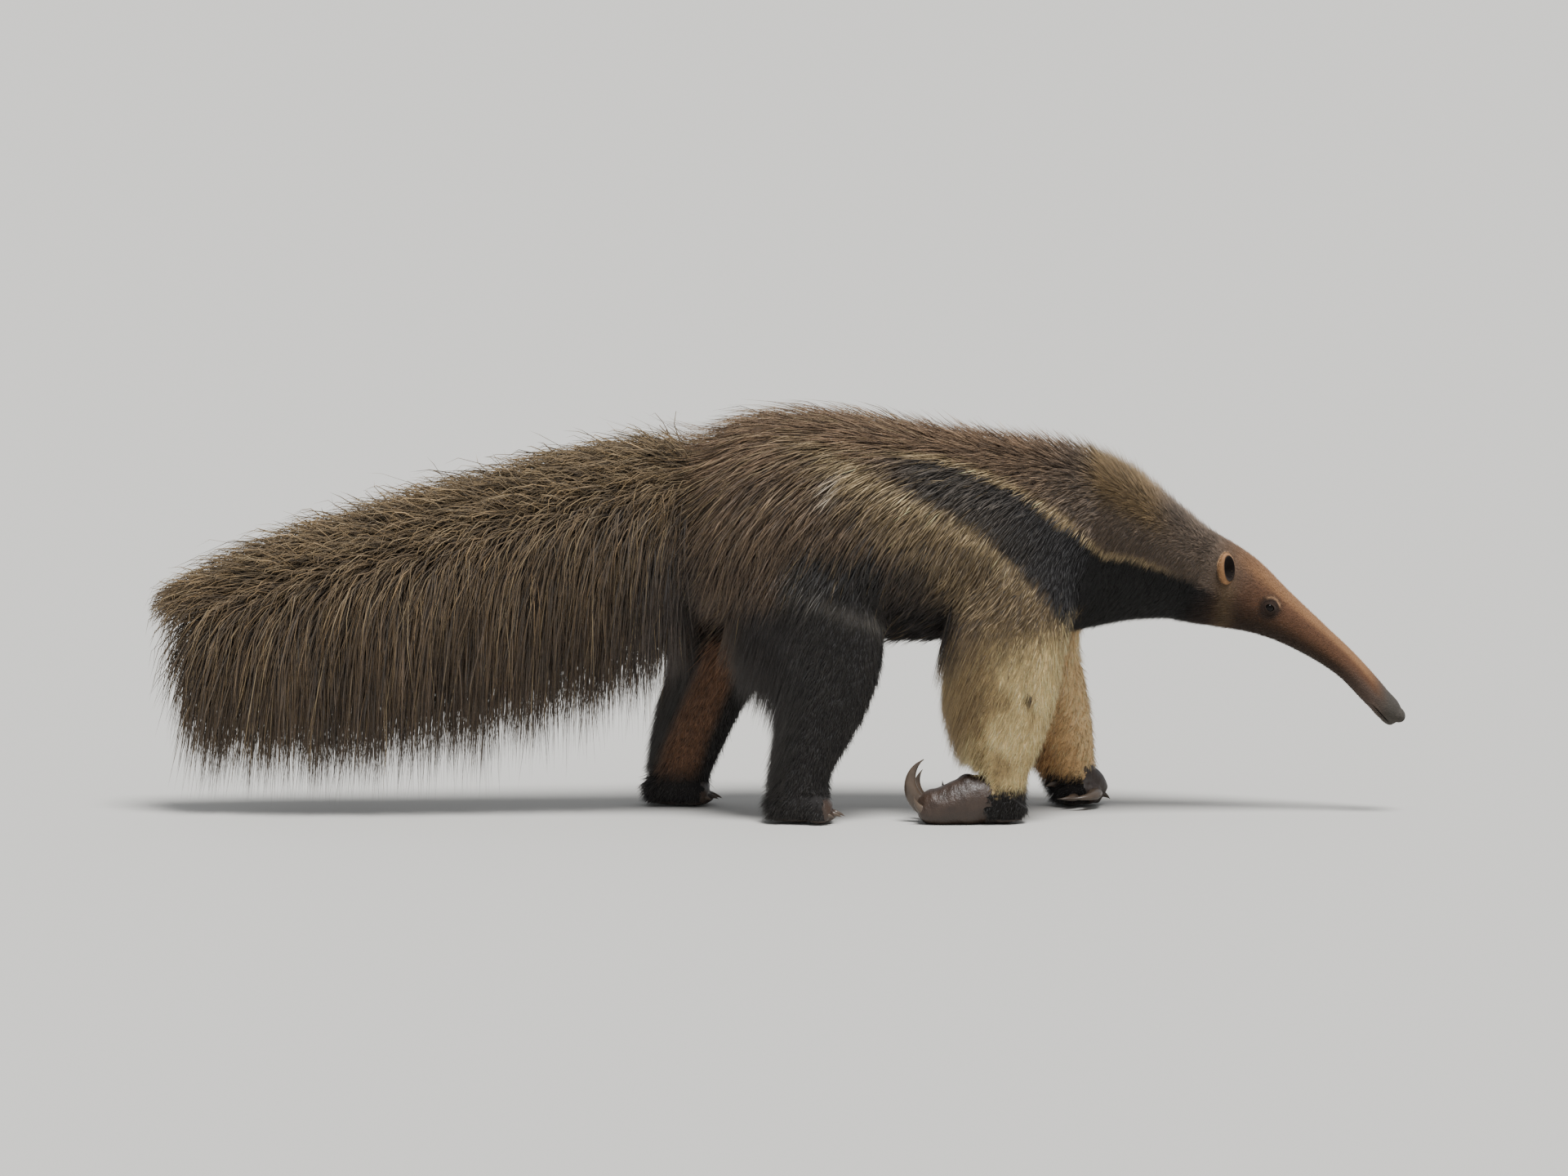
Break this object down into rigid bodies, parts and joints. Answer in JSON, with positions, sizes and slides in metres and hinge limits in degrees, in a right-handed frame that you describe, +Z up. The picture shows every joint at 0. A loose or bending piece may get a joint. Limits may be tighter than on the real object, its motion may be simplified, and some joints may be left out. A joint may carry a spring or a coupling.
{
  "type": "giant anteater figure",
  "caption": "Life-size giant anteater in mid-stride, with a long tapered snout, a low mane along the back, great curved front claws and a deep curtain of hair on the tail.",
  "frame": {"origin": "on the ground, under the middle of the whole figure's length and width", "axes": "+X the way the animal faces, +Y its left side, +Z up"},
  "size_m": [2.0007, 0.3475, 0.6555],
  "materials": {
    "coat_grizzled": "long coarse hair, matt",
    "coat_neck": "short coarse hair, matt",
    "coat_face": "very short fine hair, matt",
    "coat_foreleg": "short pale hair, matt",
    "coat_hindleg": "coarse dark hair, matt",
    "coat_tail": "very long coarse hair, matt",
    "skin_foot": "bare wrinkled skin, satin",
    "horn_claw": "worn horn, satin",
    "eye": "wet, glossy"
  },
  "bodies": {
    "root": {"head": "coat_face", "ear_right": "coat_face", "ear_left": "coat_face", "eye_right": "eye", "eye_left": "eye", "neck": "coat_neck", "torso": "coat_grizzled", "tail": "coat_tail", "foreleg_right": "coat_foreleg", "foreleg_left": "coat_foreleg", "hindleg_right": "coat_hindleg", "hindleg_left": "coat_hindleg", "hand_right": "skin_foot", "hand_left": "skin_foot", "foot_right": "skin_foot", "foot_left": "skin_foot", "claw_right_1": "horn_claw", "claw_right_2": "horn_claw", "claw_right_3": "horn_claw", "claw_right_4": "horn_claw", "claw_hind_right_1": "horn_claw", "claw_hind_right_2": "horn_claw", "claw_hind_right_3": "horn_claw", "claw_hind_right_4": "horn_claw", "claw_hind_right_5": "horn_claw", "claw_left_1": "horn_claw", "claw_left_2": "horn_claw", "claw_left_3": "horn_claw", "claw_left_4": "horn_claw", "claw_hind_left_1": "horn_claw", "claw_hind_left_2": "horn_claw", "claw_hind_left_3": "horn_claw", "claw_hind_left_4": "horn_claw", "claw_hind_left_5": "horn_claw"}
  },
  "joints": []
}
